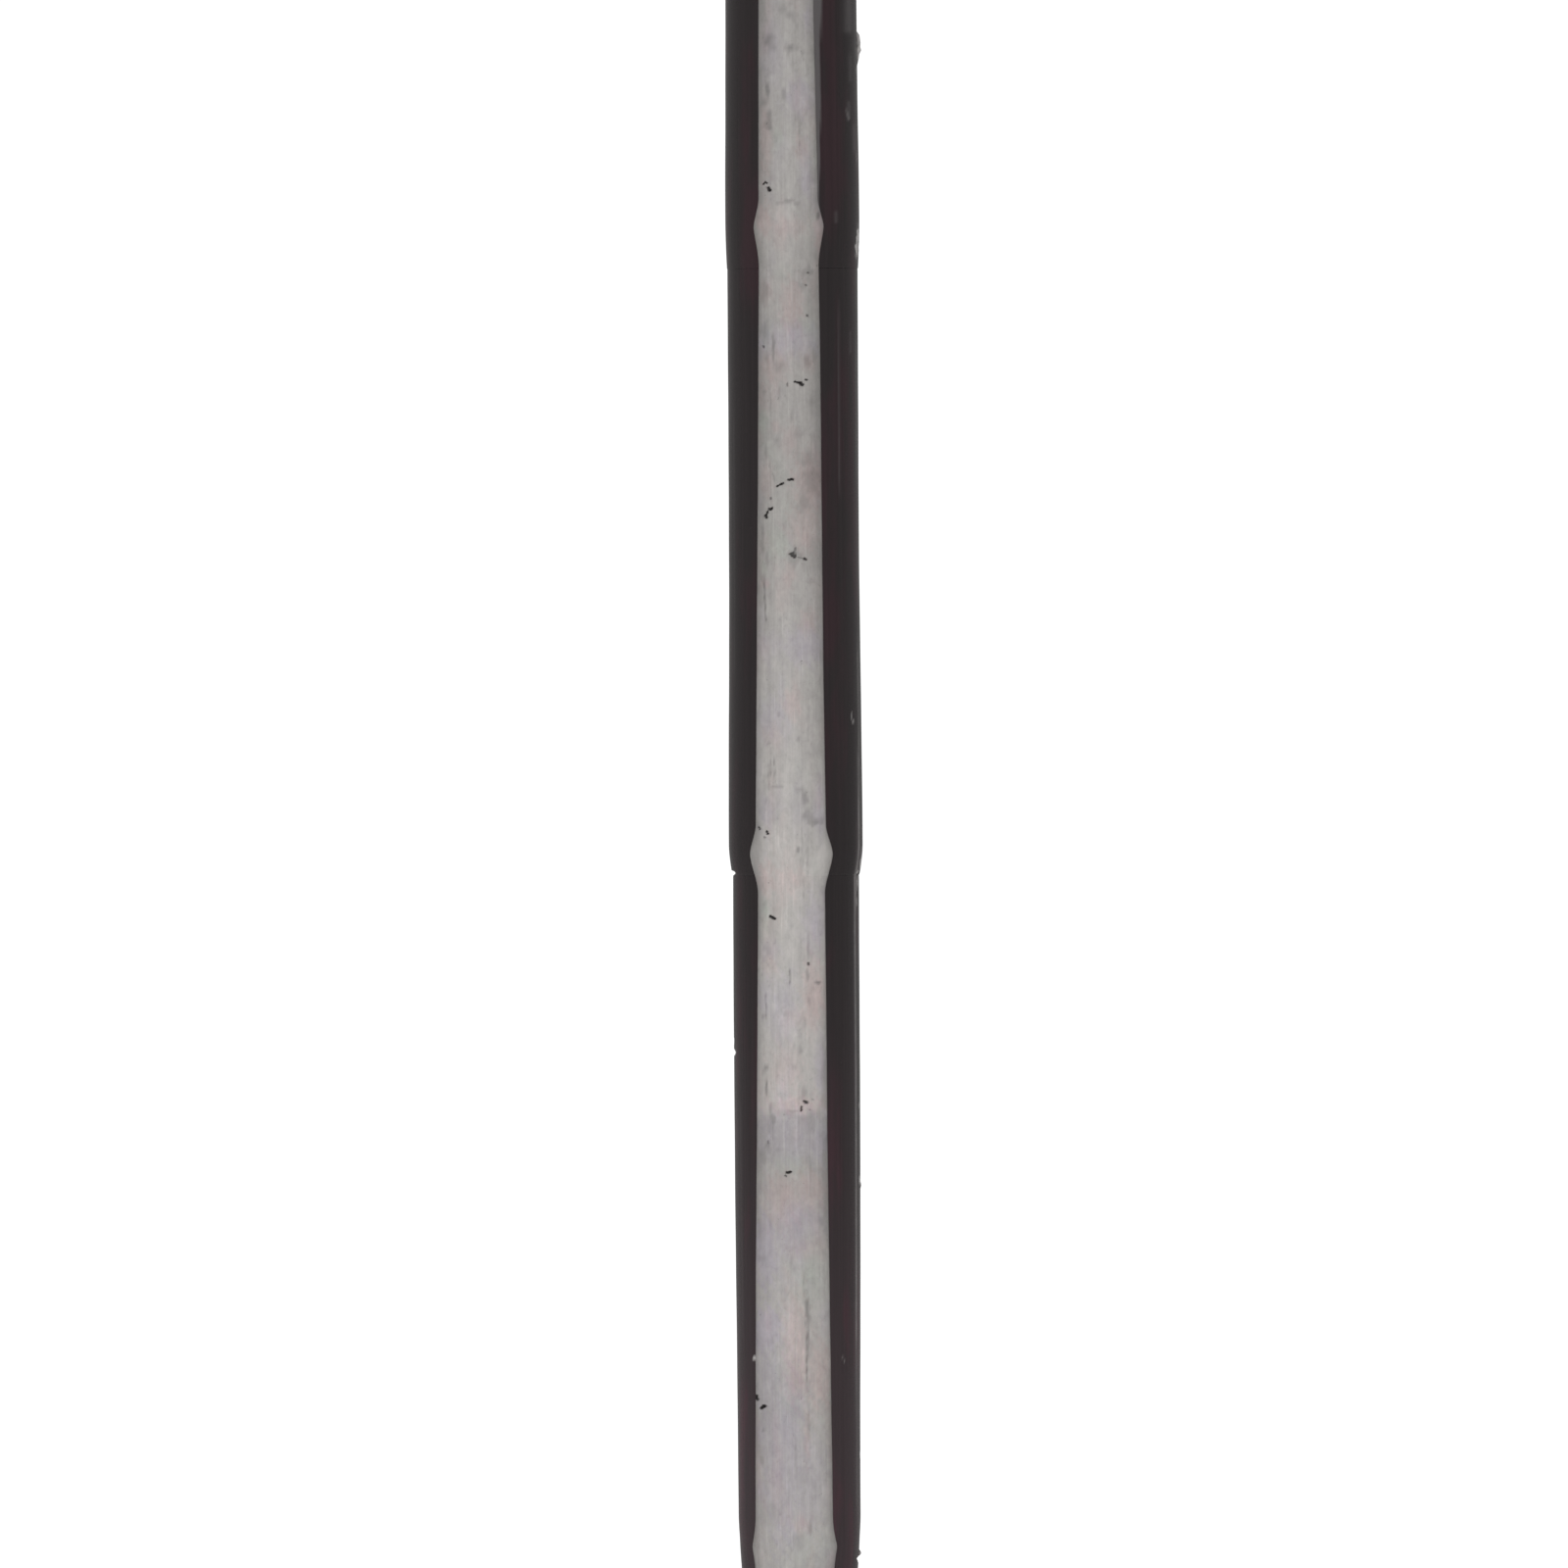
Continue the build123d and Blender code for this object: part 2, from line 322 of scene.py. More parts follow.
# Patches on the front slat: (height, across, length, width, strength). Smudges are grey dirt, pale ones
# are worn, and the rest are tints. The three long smudges at the borders, near heights 108, 126 and 163, are
# painted shade.
PATCHES = {
    "smudge_and_shade": (
        (323.4, -0.4, 1.4, 1.6, 0.50),
        (322.0, 0.9, 1.2, 1.6, 0.50),
        (320.6, 1.6, 1.0, 1.2, 0.35),
        (317.6, -3.1, 1.8, 1.5, 0.70),
        (316.4, -2.2, 1.0, 1.2, 0.50),
        (315.7, 0.9, 0.9, 1.5, 0.80),
        (314.6, 3.0, 0.7, 0.8, 0.60),
        (313.4, 1.2, 1.6, 0.7, 0.25),
        (308.4, -3.5, 2.6, 0.6, 0.75),
        (307.4, -0.5, 2.4, 0.7, 0.50),
        (306.3, -4.3, 1.0, 1.4, 0.60),
        (303.5, -3.3, 1.3, 1.0, 0.60),
        (303.0, 2.4, 2.4, 1.6, 0.30),
        (301.6, -3.4, 1.0, 1.5, 0.65),
        (287.9, 0.3, 0.6, 1.8, 0.50),
        (287.6, -1.2, 0.7, 1.4, 0.40),
        (287.4, 1.5, 0.7, 1.0, 0.35),
        (285.4, 5.5, 1.2, 0.6, 0.90),
        (274.9, 3.4, 1.4, 1.6, 0.35),
        (272.4, 2.8, 1.0, 1.2, 0.35),
        (271.5, -4.2, 2.4, 1.3, 0.35),
        (265.4, 1.6, 1.2, 0.5, 0.30),
        (264.4, -4.4, 2.2, 0.5, 0.45),
        (264.2, -4.2, 3.0, 1.4, 0.28),
        (261.4, -2.8, 4.0, 0.5, 0.65),
        (259.8, 4.7, 2.6, 0.7, 0.32),
        (259.2, -4.0, 1.6, 0.6, 0.40),
        (258.6, 3.3, 2.6, 1.1, 0.50),
        (257.6, -1.6, 1.5, 1.8, 0.42),
        (253.0, -1.7, 2.0, 0.5, 0.42),
        (252.6, -4.6, 1.0, 0.7, 0.45),
        (250.7, 4.0, 1.0, 0.8, 0.28),
        (250.6, -3.4, 2.0, 0.5, 0.35),
        (248.6, 0.6, 1.8, 0.5, 0.28),
        (247.6, 4.4, 0.5, 1.2, 0.60),
        (247.5, -2.8, 0.5, 1.6, 0.38),
        (245.0, 2.0, 1.4, 1.6, 0.28),
        (244.6, 4.3, 1.0, 1.0, 0.30),
        (243.6, -2.2, 1.2, 1.6, 0.28),
        (242.0, -4.2, 2.6, 0.5, 0.40),
        (240.2, 3.2, 1.4, 2.0, 0.35),
        (236.6, 3.9, 4.0, 2.6, 0.38),
        (232.6, 2.7, 2.6, 1.8, 0.40),
        (228.4, -0.7, 1.8, 0.5, 0.32),
        (226.4, -4.9, 5.0, 0.6, 0.36),
        (222.6, 0.9, 2.6, 2.0, 0.40),
        (222.4, -4.1, 2.4, 0.5, 0.38),
        (218.6, -4.7, 1.4, 0.8, 0.40),
        (218.2, 3.8, 1.0, 1.2, 0.28),
        (193.7, -2.0, 0.7, 0.5, 0.38),
        (189.3, 1.6, 0.8, 0.5, 0.35),
        (188.4, -3.8, 0.6, 0.8, 0.35),
        (180.6, -2.4, 0.4, 2.0, 0.42),
        (179.8, 1.4, 0.5, 0.9, 0.35),
        (178.6, 2.6, 2.6, 0.9, 0.55),
        (177.8, -4.4, 0.8, 0.5, 0.35),
        (176.0, 3.1, 1.0, 1.0, 0.40),
        (174.8, 3.2, 0.8, 1.8, 0.50),
        (173.9, 4.5, 1.0, 1.7, 0.52),
        (168.8, 1.4, 1.0, 0.6, 0.60),
        (163.0, -6.2, 24.0, 1.6, 0.26),
        (159.2, -5.0, 0.8, 0.8, 0.35),
        (155.2, 0.0, 0.5, 0.8, 0.28),
        (151.6, -3.0, 0.5, 1.6, 0.34),
        (151.0, 3.2, 4.6, 0.4, 0.40),
        (150.8, -4.4, 2.4, 1.2, 0.30),
        (145.9, 3.0, 2.0, 0.5, 0.45),
        (144.5, 4.9, 0.5, 1.0, 0.70),
        (141.0, 3.3, 1.2, 0.5, 0.38),
        (138.7, -1.2, 0.8, 0.5, 0.28),
        (138.3, -5.4, 0.6, 0.6, 0.38),
        (137.1, 2.5, 1.4, 0.5, 0.28),
        (132.5, 0.5, 0.9, 0.6, 0.40),
        (132.4, 1.8, 0.9, 0.7, 0.50),
        (129.2, 0.7, 0.5, 1.2, 0.28),
        (128.7, -4.8, 1.2, 0.9, 0.60),
        (126.0, 6.2, 10.0, 1.4, 0.22),
        (125.6, -4.6, 2.0, 0.4, 0.45),
        (124.4, 2.3, 1.6, 0.9, 0.34),
        (121.4, -3.9, 1.6, 0.5, 0.38),
        (121.0, 0.6, 0.5, 1.6, 0.34),
        (119.6, -3.3, 1.4, 0.8, 0.36),
        (117.6, -4.0, 2.0, 1.2, 0.25),
        (114.9, -4.3, 1.2, 0.9, 0.45),
        (113.6, -2.7, 0.8, 2.2, 0.35),
        (112.8, -5.4, 2.4, 1.2, 0.36),
        (108.0, 6.4, 14.0, 1.8, 0.26),
        (100.8, 5.6, 1.2, 0.9, 0.35),
        (96.6, 4.2, 0.6, 1.4, 0.34),
        (94.0, -5.4, 1.2, 1.0, 0.35),
        (93.4, 0.0, 1.6, 0.5, 0.32),
        (91.6, 0.4, 1.4, 0.5, 0.25),
        (85.6, 3.1, 3.0, 0.5, 0.35),
        (84.9, 2.7, 2.4, 0.5, 0.62),
        (83.2, 3.0, 1.6, 0.7, 0.46),
        (81.9, 2.6, 0.8, 0.5, 0.38),
        (79.2, 3.0, 6.0, 0.5, 0.40),
        (62.4, -5.5, 0.6, 0.6, 0.45),
        (57.0, -5.8, 1.2, 0.6, 0.36),
        (47.3, -2.4, 0.9, 0.5, 0.34),
        (44.8, 3.1, 2.2, 0.5, 0.42),
        (42.0, 0.6, 2.6, 1.6, 0.20),
    ),
    "pink": (
        (299.5, -4.0, 11.0, 1.8, 0.8),
        (297.5, 2.7, 4.0, 2.0, 0.7),
        (284.5, -4.5, 5.0, 2.4, 1.0),
        (283.0, 1.0, 3.0, 4.6, 0.6),
        (282.6, 5.7, 5.0, 1.6, 1.0),
        (271.4, -4.0, 3.6, 2.0, 0.7),
        (269.0, 0.6, 7.6, 3.2, 1.0),
        (258.0, 3.6, 2.2, 1.2, 1.0),
        (257.4, -2.8, 5.0, 4.4, 0.8),
        (251.5, -5.2, 3.4, 0.9, 0.8),
        (246.4, -2.4, 1.4, 1.6, 0.9),
        (244.0, 0.2, 4.0, 2.4, 0.8),
        (236.8, -4.2, 5.6, 2.2, 0.6),
        (236.0, 3.6, 9.0, 4.4, 1.0),
        (227.6, 2.6, 6.5, 4.8, 0.8),
        (219.6, 0.2, 3.6, 2.2, 0.8),
        (217.9, -4.6, 1.6, 1.6, 0.9),
        (210.8, 3.4, 3.6, 2.4, 0.8),
        (195.6, 0.5, 5.0, 2.6, 0.8),
        (163.6, -4.6, 5.0, 2.6, 1.0),
        (163.0, -1.2, 4.6, 3.6, 0.7),
        (147.6, -3.8, 3.0, 2.4, 0.5),
        (143.0, 4.0, 10.0, 3.0, 1.0),
        (138.2, 0.6, 2.6, 3.6, 0.6),
        (128.6, -1.0, 7.0, 4.6, 0.7),
        (122.0, 0.8, 2.8, 7.4, 1.0),
        (106.5, 3.4, 6.0, 5.0, 0.9),
        (105.0, -1.6, 8.0, 6.0, 0.9),
        (95.6, 1.6, 3.0, 4.2, 0.6),
        (78.0, 0.6, 17.0, 3.4, 1.0),
        (73.4, 5.0, 9.0, 3.6, 0.9),
        (62.0, 2.6, 8.6, 0.9, 0.8),
        (45.0, 2.0, 2.6, 2.6, 0.7),
    ),
    "violet": (
        (321.0, 4.2, 4.0, 1.4, 0.8),
        (314.0, -2.6, 9.0, 3.8, 0.5),
        (307.0, 2.4, 5.4, 4.4, 0.9),
        (293.4, 3.4, 8.0, 2.2, 0.6),
        (262.4, 0.0, 4.6, 11.0, 0.9),
        (206.6, -3.4, 3.6, 5.0, 0.5),
        (206.2, 2.8, 5.6, 6.0, 0.9),
        (193.0, -3.6, 6.4, 4.0, 0.7),
        (176.5, 5.2, 9.0, 1.6, 0.35),
        (176.0, -4.3, 4.4, 3.2, 0.7),
        (155.0, 4.3, 8.0, 3.4, 0.8),
        (150.6, -4.0, 2.8, 3.4, 0.6),
        (142.0, -4.8, 5.6, 2.2, 0.8),
        (139.6, -1.6, 9.6, 4.2, 0.8),
        (129.0, 5.3, 9.0, 1.6, 0.8),
        (116.6, 0.0, 8.4, 14.0, 0.8),
        (100.6, 1.8, 5.0, 7.4, 0.8),
        (97.6, -0.6, 6.0, 5.0, 0.9),
        (95.6, -4.9, 10.6, 3.2, 1.5),
        (80.8, -4.5, 6.8, 4.0, 1.6),
        (70.6, -4.3, 14.0, 4.4, 0.8),
        (61.6, -5.9, 4.0, 1.8, 0.9),
        (59.0, -1.8, 26.0, 6.6, 0.9),
        (53.0, 2.4, 16.0, 6.4, 0.6),
        (51.4, -5.8, 2.8, 2.0, 0.8),
    ),
    "green": (
        (299.6, -1.6, 3.6, 1.6, 0.9),
        (274.6, -0.6, 3.0, 3.0, 0.4),
        (262.6, -4.0, 4.6, 2.4, 0.8),
        (262.6, 4.0, 4.6, 2.4, 0.6),
        (247.6, -4.8, 3.2, 1.2, 1.0),
        (225.0, -2.4, 4.2, 4.2, 1.0),
        (220.4, -4.8, 3.4, 1.2, 1.0),
        (156.8, -4.9, 5.4, 1.6, 1.2),
        (111.0, 0.2, 3.4, 6.0, 0.8),
        (90.0, 2.8, 7.4, 5.4, 0.8),
        (40.6, 3.4, 7.0, 7.4, 0.5),
    ),
    "pale": (
        (285.6, -0.8, 3.4, 3.6, 0.6),
        (262.4, 0.0, 4.4, 10.6, 0.35),
        (170.0, -0.5, 4.0, 5.6, 0.5),
        (161.0, 0.6, 6.0, 3.0, 0.4),
        (136.0, -1.0, 4.0, 4.0, 0.4),
        (124.0, -1.0, 8.0, 3.4, 0.5),
        (83.0, 6.7, 26.0, 0.8, 0.6),
        (82.0, -0.4, 8.6, 2.4, 0.7),
        (75.2, -3.1, 1.4, 1.2, 1.4),
        (73.4, 2.1, 5.6, 0.6, 1.3),
        (68.6, 2.1, 1.4, 0.6, 1.2),
        (66.0, 2.5, 2.0, 0.6, 1.0),
        (62.6, 2.3, 2.4, 0.5, 1.1),
        (61.6, 4.6, 14.0, 2.4, 0.9),
        (58.8, 2.7, 1.6, 0.6, 1.1),
        (48.6, 5.2, 12.0, 2.4, 0.8),
        (41.6, 4.2, 5.0, 3.2, 0.6),
    ),
}
# Nicks and burrs of the sleeves: (height, angle from the front towards +X in degrees, length, width, depth,
# paleness). A burr stands out, so its depth is below zero. The paleness of the marks at heights 315 to 319,
# 279 to 282, 164.7 to 164.9 and 38 to 40 is a painted glint.
NICKS_AND_GLINTS = (
    (318.6, 88, 1.6, 0.8, -0.20, 0.7),
    (317.2, 94, 3.6, 1.5, -0.70, 1.0),
    (315.0, 93, 2.4, 1.2, -0.45, 1.0),
    (312.0, 84, 1.2, 0.5, 0.06, 0.4),
    (304.4, 59, 0.5, 1.4, 0.04, 0.10),
    (303.6, 63, 1.2, 1.0, 0.08, 0.12),
    (296.0, 80, 2.0, 0.5, 0.06, 0.3),
    (281.6, 87, 3.2, 3.4, 0.28, 0.9),
    (279.4, 86, 3.6, 4.2, 0.34, 0.8),
    (248.0, 141, 3.2, 1.0, 0.18, 0.5),
    (212.0, -118, 1.4, 2.2, 0.20, 0.5),
    (193.6, 63, 1.0, 0.6, 0.03, 0.35),
    (192.4, 65, 0.8, 0.8, 0.03, 0.35),
    (168.6, 84, 1.2, 0.5, 0.06, 0.8),
    (166.6, 88, 2.6, 2.0, 0.10, 0.8),
    (165.9, 85, 1.6, 0.6, 0.06, 0.9),
    (164.9, 80, 0.7, 1.2, 0.30, 1.0),
    (164.7, -86, 1.0, 8.0, 0.72, 0.3),
    (163.2, 82, 1.8, 0.8, 0.12, 0.8),
    (162.0, 80, 1.0, 0.4, 0.05, 0.7),
    (159.4, 79, 2.0, 0.4, 0.05, 0.6),
    (133.6, -86, 0.8, 3.0, 0.20, 0.5),
    (131.6, -86, 1.1, 5.0, 0.36, 0.8),
    (121.8, 84, 1.4, 1.0, 0.06, 0.5),
    (108.1, 85, 1.1, 1.5, -0.14, 1.0),
    (107.2, 92, 0.9, 1.4, -0.16, 0.7),
    (96.0, 128, 2.0, 1.2, 0.18, 0.5),
    (75.7, -41.6, 1.0, 0.7, 0.05, 0.8),
    (75.6, 49, 0.6, 0.5, 0.03, 0.10),
    (74.8, 52, 0.7, 0.6, 0.05, 0.16),
    (57.6, 93, 0.9, 2.2, 0.22, 0.6),
    (39.5, 94, 1.0, 2.5, -0.40, 0.6),
    (38.4, 94, 1.2, 4.5, 0.50, 0.4),
)
# Painted highlight lines along a flank, near its right edge: (height of the upper end, height of the lower
# end, angle, width, paleness)
PAINTED_HIGHLIGHT_LINES = (
    (266.0, 235.0, 79.5, 0.7, 0.10),
    (209.0, 176.0, 77.0, 0.7, 0.18),
    (182.0, 155.0, 75.0, 0.7, 0.34),
    (168.0, 110.0, 73.4, 0.7, 0.28),
    (120.0, 76.0, 73.4, 0.7, 0.27),
    (80.0, 44.0, 75.0, 0.7, 0.10),
)
# Soft grey rubs on the sleeves: (height, angle, length, width, strength). The long ones at 70 to 74 degrees,
# between heights 70 and 187, are painted highlight lines near the right edge.
RUBS_AND_HIGHLIGHT_LINES = (
    (322.5, 66, 7.0, 3.2, 0.55),
    (312.5, 68, 5.0, 1.6, 0.30),
    (304.6, 64, 3.0, 1.4, 0.45),
    (299.5, 74, 5.0, 1.6, 0.35),
    (285.0, 45, 2.2, 0.8, 0.35),
    (280.5, 82, 7.0, 1.8, 0.50),
    (262.0, 66, 4.0, 0.8, 0.30),
    (252.0, 49, 33.0, 0.35, 0.45),
    (225.0, -62, 46.0, 0.5, 0.22),
    (176.0, 74.0, 22.0, 0.8, 0.75),
    (170.0, 74, 8.0, 1.6, 0.45),
    (150.5, 70, 20.0, 0.6, 0.30),
    (120.0, 72.5, 100.0, 0.9, 0.75),
    (101.0, -60, 40.0, 0.5, 0.22),
)
# Widest reach in mm of the painted reflection band beside the front slat's right border
BAND_WIDTH = 1.6


def oval(height, across, at, length, width, tilt=0.0):
    """How far points lie from an oval's centre: 1 on its edge."""
    turn = math.radians(tilt)
    along, side = height - at[0], across - at[1]
    x = side * math.cos(turn) + along * math.sin(turn)
    y = along * math.cos(turn) - side * math.sin(turn)
    return np.hypot(x / (width / 2), y / (length / 2))


def stroke_distance(height, across, stroke):
    """Distance in mm from points to a stroke's line."""
    nearest = np.full(height.shape, np.inf)
    for (h0, a0), (h1, a1) in zip(stroke, stroke[1:]):
        length = math.hypot(h1 - h0, a1 - a0)
        share = ((height - h0) * (h1 - h0) + (across - a0) * (a1 - a0)) / length**2
        share = np.clip(share, 0, 1)
        reach = np.hypot(height - h0 - share * (h1 - h0), across - a0 - share * (a1 - a0))
        nearest = np.minimum(nearest, reach)
    return nearest


def slat_cuts(height, across):
    """Depth of pits and scratches in mm, and their darkness, at points of the front slat."""
    depth = np.zeros(height.shape)
    dark = np.zeros(height.shape)
    for stroke, width, pit_depth, darkness in PITS:
        ragged = 1 + 0.20 * np.sin(6.3 * height + 4.1 * across) + 0.15 * np.sin(9.7 * across - 5.3 * height)
        reach = stroke_distance(height, across, stroke) / (width / 2) * ragged
        depth += pit_depth * np.clip(1 - reach**2, 0, 1) ** 0.7
        depth -= 0.04 * np.exp(-(((reach - 1.6) / 0.35) ** 2))
        dark = np.maximum(dark, darkness * np.clip((1.25 - reach) / 0.5, 0, 1))
    for top, bottom, at_across, lean, strength in SCRATCHES:
        share = np.clip((top - height) / (top - bottom), 0, 1)
        off = across - (at_across + lean * (share - 0.5) + 0.05 * np.sin(height * 2.3))
        past = np.maximum(height - top, 0) + np.maximum(bottom - height, 0)
        near = strength * np.exp(-((off / 0.16) ** 2) - (past / 0.5) ** 2)
        near = near * (0.75 + 0.25 * np.sin(height * 3.1))
        depth += 0.06 * near
        dark = np.maximum(dark, near * 0.8)
    return depth, dark


def slat_patch(kind, height, across):
    """How strongly one kind of patch shows at points of the front slat."""
    shown = np.zeros(height.shape)
    for at_height, at_across, length, width, strength in PATCHES[kind]:
        wobble = 0.22 * np.sin(1.9 * height + 2.7 * across + at_height)
        wobble = wobble + 0.14 * np.sin(4.9 * across - 3.1 * height)
        reach = oval(height, across, (at_height, at_across), length * 1.15, width * 1.15) * (1 + wobble)
        shown = np.maximum(shown, strength * np.exp(-(reach**4) * 0.7))
    return shown


def sleeve_nicks_and_highlights(height, angle, radius):
    """Depth of the nicks in mm and how pale the sleeve is, from worn-through nicks and from painted glints
    and painted highlight lines, at points of a sleeve.
    """
    depth = np.zeros(height.shape)
    bare_and_highlight = np.zeros(height.shape)
    for at_height, degrees, length, width, nick_depth, paleness in NICKS_AND_GLINTS:
        across = (angle - math.radians(degrees)) * radius
        reach = oval(height, across, (at_height, 0.0), length, width)
        reach = reach * (1 + 0.2 * np.sin(3.7 * height + 2.9 * across))
        depth += nick_depth * np.clip(1 - reach**2, 0, 1) ** 0.6
        bare_and_highlight = np.maximum(bare_and_highlight, paleness * np.clip((1.12 - reach) / 0.3, 0, 1))
    for top, bottom, degrees, width, paleness in PAINTED_HIGHLIGHT_LINES:
        across = (angle - math.radians(degrees)) * radius
        ends = np.clip((top - height) / 5, 0, 1) * np.clip((height - bottom) / 5, 0, 1)
        uneven = 0.85 + 0.15 * np.sin(0.9 * height + 2 * np.sin(0.37 * height))
        bare_and_highlight = np.maximum(bare_and_highlight, paleness * uneven * ends * np.exp(-((across / (width / 2)) ** 2)))
    return depth, bare_and_highlight


def sleeve_rubs_and_reflections(height, angle, radius, slat_width):
    """How rubbed the lacquer is, from 0 to 1, at points of a sleeve, with painted highlight lines and a
    painted reflection band mixed in.
    """
    rub_and_reflection = np.zeros(height.shape)
    for at_height, degrees, length, width, strength in RUBS_AND_HIGHLIGHT_LINES:
        across = (angle - math.radians(degrees)) * radius
        along = np.clip(1.15 - np.abs(height - at_height) / (length / 2), 0, 1)
        streak = np.exp(-((across / (width / 2)) ** 2)) * np.minimum(along * 4, 1)
        rub_and_reflection = np.maximum(rub_and_reflection, strength * streak)
    # A painted reflection: a grey band beside the front slat's right border, widening from the outermost node
    # towards the cap
    beside = angle * radius - (slat_width + slat_drift(np.abs(height)))
    reach = BAND_WIDTH * np.clip((height - NODE_HEIGHTS[2]) / 42.0, 0, 1) ** 0.6
    band = np.clip((reach - beside) / 0.2, 0, 1) * (reach > 0.02) * (beside > -0.5)
    return np.maximum(rub_and_reflection, 1.4 * band)


# ---------------------------------------------------------------- pieces


def slat_rows(marked):
    """Heights of a slat's rows, closer together over the nodes and, on the marked slat, over its cuts."""
    rows = [np.arange(-CAP_RIM, CAP_RIM, 1.0), [CAP_RIM]]
    for node in NODE_HEIGHTS:
        for sign in (1, -1):
            rows.append(sign * (node + np.arange(-8.0, 6.0, 0.4)))
    if marked:
        for stroke, _, _, _ in PITS:
            heights = [point[0] for point in stroke]
            rows.append(np.arange(min(heights) - 0.5, max(heights) + 0.5, 0.11))
        for scratch in SCRATCHES:
            rows.append(np.arange(scratch[1] - 0.5, scratch[0] + 0.5, 0.5))
    kept = [-CAP_RIM]
    for row in np.unique(np.round(np.concatenate(rows), 2)):
        if row - kept[-1] > 0.08 and CAP_RIM - row > 0.08:
            kept.append(row)
    return np.array([*kept, CAP_RIM])


def make_slat(name, facing, material):
    """One slat: a long thin shell with rounded borders, whose grey paints the reflection of the front softbox
    in the black lacquer. facing is -1 for the front and 1 for the back.
    """
    marked = facing < 0
    height = slat_rows(marked)[:, None]
    away = np.abs(height)
    width = border_width(height)
    # Across the face: even columns, then closer ones round each border
    border = 0.14
    steps = border * (1 - (1 - np.linspace(0, 1, 6)) ** 1.8)[None, :]
    even = np.linspace(-1, 1, 57)[None, 1:-1]
    across = np.concatenate([steps - width, (width - border) * even, width - steps[:, ::-1]], axis=1)
    inset = np.clip((border - (width - np.abs(across))) / border, 0, 1)
    lift = SLAT_PROUD - (SLAT_PROUD + 0.05) * (1 - np.sqrt(1 - inset**2))
    relief = 0.035 * waviness(height, across * 0.35, 11)
    dark = np.zeros(across.shape)
    patches = {kind: np.zeros(across.shape) for kind in PATCHES}
    if marked:
        places = height + 0 * across
        depth, dark = slat_cuts(places, across)
        relief = relief - depth
        patches = {kind: slat_patch(kind, places, across) for kind in PATCHES}
    radius = stick_radius(away) + lift + relief
    aside = across + slat_drift(away)
    face = np.stack([aside, -np.sqrt(radius**2 - aside**2), height + 0 * across], axis=-1)
    # The underside lies on the bed, from one wall to the other
    under_across = width * np.linspace(1, -1, 9)[None, :] + slat_drift(away)
    under_radius = bed_radius(away)
    under = np.stack(
        [under_across, -np.sqrt(under_radius**2 - under_across**2), height + 0 * under_across], axis=-1
    )
    points = np.concatenate([face, under], axis=1)
    rows, columns = points.shape[:2]
    # Painted shade along the borders, wider at the left one higher up and at the right one between the outer
    # nodes
    left_reach = 0.8 + 0.7 * ease(away, 120, 260)
    right_reach = 0.7 + 1.0 * ease(away, 150, 230) * (1 - ease(away, 275, 300))
    rim = np.exp((-width - across) / left_reach) + np.exp((across - width) / right_reach)
    tones = np.array(SLAT_TONES)
    wander = 1.6 * waviness(height * 6, across * 0.5, 31)
    tone = 0.36 + 0.01 * wander
    if marked:
        tone = SLAT_BRIGHTNESS * np.interp(height + wander, tones[:, 0], tones[:, 1])
    pad = np.zeros(under_across.shape)
    attributes = {
        "pit": np.concatenate([dark, pad], axis=1).ravel(),
        **{kind: np.concatenate([shown, pad], axis=1).ravel() for kind, shown in patches.items()},
        "rim": np.concatenate([rim, pad + 1], axis=1).ravel(),
        "tone": np.concatenate([tone, pad + 0.3], axis=1).ravel(),
    }
    flat = points.reshape(-1, 3) * (1 if facing < 0 else np.array([-1, -1, 1]))
    faces = grid_faces(rows, columns, close_rows=False)
    faces.append(tuple(range(columns)))
    faces.append(tuple(range((rows - 1) * columns, rows * columns))[::-1])
    return make_piece(f"{name}_finished", flat, faces, attributes, material, [name])


def sleeve_section(index):
    """A sleeve's section as (radius, height) points, and how many of them are on the outside.

    It starts at the lip's foot, runs along the outside and comes back along the bore.
    """
    foot = LIP_FEET[index]
    last = index == len(SLEEVES) - 1
    far = CAP_RIM if last else LIP_FEET[index + 1]
    reduced = SEAT_RADIUS if last else SPIGOT_RADII[index + 1]
    crest = foot + LIP_SHAPES[index][-1][0]
    lip = np.concatenate([foot + np.array([0.06, 0.2, 0.4]), np.arange(foot + 0.7, crest, 0.3)])
    side = np.concatenate([np.arange(crest, far - 0.2, 0.7), [far - 0.15, far]])
    heights = np.unique(np.round(np.concatenate([lip, side]), 3))
    radii = sleeve_radius(index, heights)
    radii[:3] -= (0.05, 0.015, 0.0)
    radii[-1] -= 0.03
    socket = SPIGOT_RADII[index] + GLUE_GAP
    outside = list(zip(radii, heights))
    lip_wall = [(radii[0] - 0.08, foot)]
    inside = [
        (reduced, far),
        (reduced, SLEEVE_ENDS[index]),
        (BORE_RADIUS, SLEEVE_ENDS[index]),
        (BORE_RADIUS, RING_ENDS[index]),
        (socket, RING_ENDS[index]),
        (socket, foot),
    ]
    return lip_wall + outside + inside, 1 + len(outside)


def waist_section():
    """The waist sleeve's section, from its lower end to its upper one and back along its bore."""
    heights = np.arange(-LIP_FEET[0], LIP_FEET[0] + 0.01, 0.73)
    radii = waist_radius(np.abs(heights))
    outside = list(zip(radii, heights))
    spigot = SPIGOT_RADII[0]
    inside = [
        (spigot, LIP_FEET[0]),
        (spigot, WAIST_END),
        (BORE_RADIUS, WAIST_END),
        (BORE_RADIUS, -WAIST_END),
        (spigot, -WAIST_END),
        (spigot, -LIP_FEET[0]),
    ]
    return outside + inside, len(outside)


